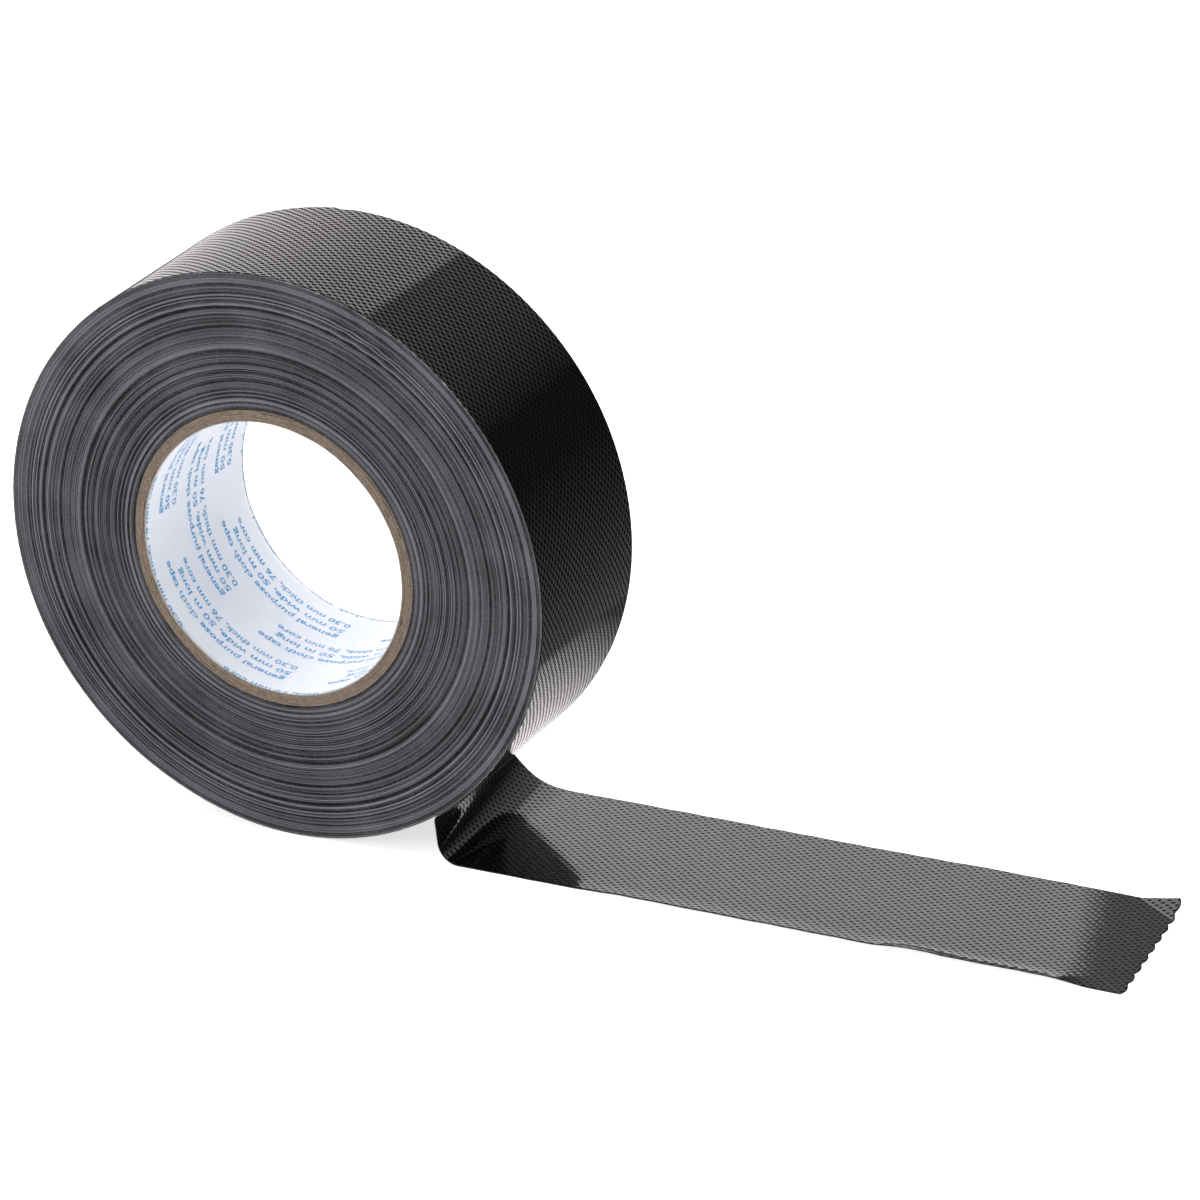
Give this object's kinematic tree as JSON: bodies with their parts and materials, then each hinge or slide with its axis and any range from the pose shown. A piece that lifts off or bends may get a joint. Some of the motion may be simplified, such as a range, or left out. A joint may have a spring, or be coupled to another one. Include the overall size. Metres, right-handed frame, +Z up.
{
  "type": "duct tape roll",
  "caption": "Part-used roll of black cloth-backed duct tape standing on its rim, with a free strip peeled off and laid flat.",
  "frame": {"origin": "centre of the core's bore, halfway across the tape's width", "axes": "+Z up with the roll standing on its rim; +Y along the bore, away from the face that looks at the viewer; +X along the free strip, away from the roll"},
  "size_m": [0.3155, 0.05, 0.158],
  "materials": {
    "backing_film": "glossy polyethylene film, embossed with the cloth's weave",
    "cloth_scrim": "open woven gauze",
    "adhesive": "tacky rubber adhesive, dull grey",
    "wound_edge": "slit edges of the wound turns, matt with fine rings",
    "core_board": "raw kraft board, cut edge",
    "liner_paper": "white paper with blue repeat print"
  },
  "bodies": {
    "free_strip": {"peel_bend_adhesive": "adhesive", "peel_bend_scrim": "cloth_scrim", "peel_bend_film": "backing_film", "laid_strip_adhesive": "adhesive", "laid_strip_scrim": "cloth_scrim", "laid_strip_film": "backing_film"},
    "roll": {"core_liner": "liner_paper", "core_ply_1": "core_board", "core_ply_2": "core_board", "core_ply_3": "core_board", "core_ply_4": "core_board", "core_ply_5": "core_board", "wound_tape": "wound_edge", "outer_turn_adhesive": "adhesive", "outer_turn_scrim": "cloth_scrim", "outer_turn_film": "backing_film"},
    "tape_end": {"tape_end_adhesive": "adhesive", "tape_end_scrim": "cloth_scrim", "tape_end_film": "backing_film"}
  },
  "joints": [
    {"name": "roll_spin", "type": "hinge", "parent": "free_strip", "child": "roll", "pos_m": [0, 0, 0], "axis": [0, 1, 0], "continuous": true},
    {"name": "tape_end_lift", "type": "hinge", "parent": "free_strip", "child": "tape_end", "pos_m": [0.11, 0, -0.0787], "axis": [0, -1, 0], "range_deg": [0, 70]}
  ]
}
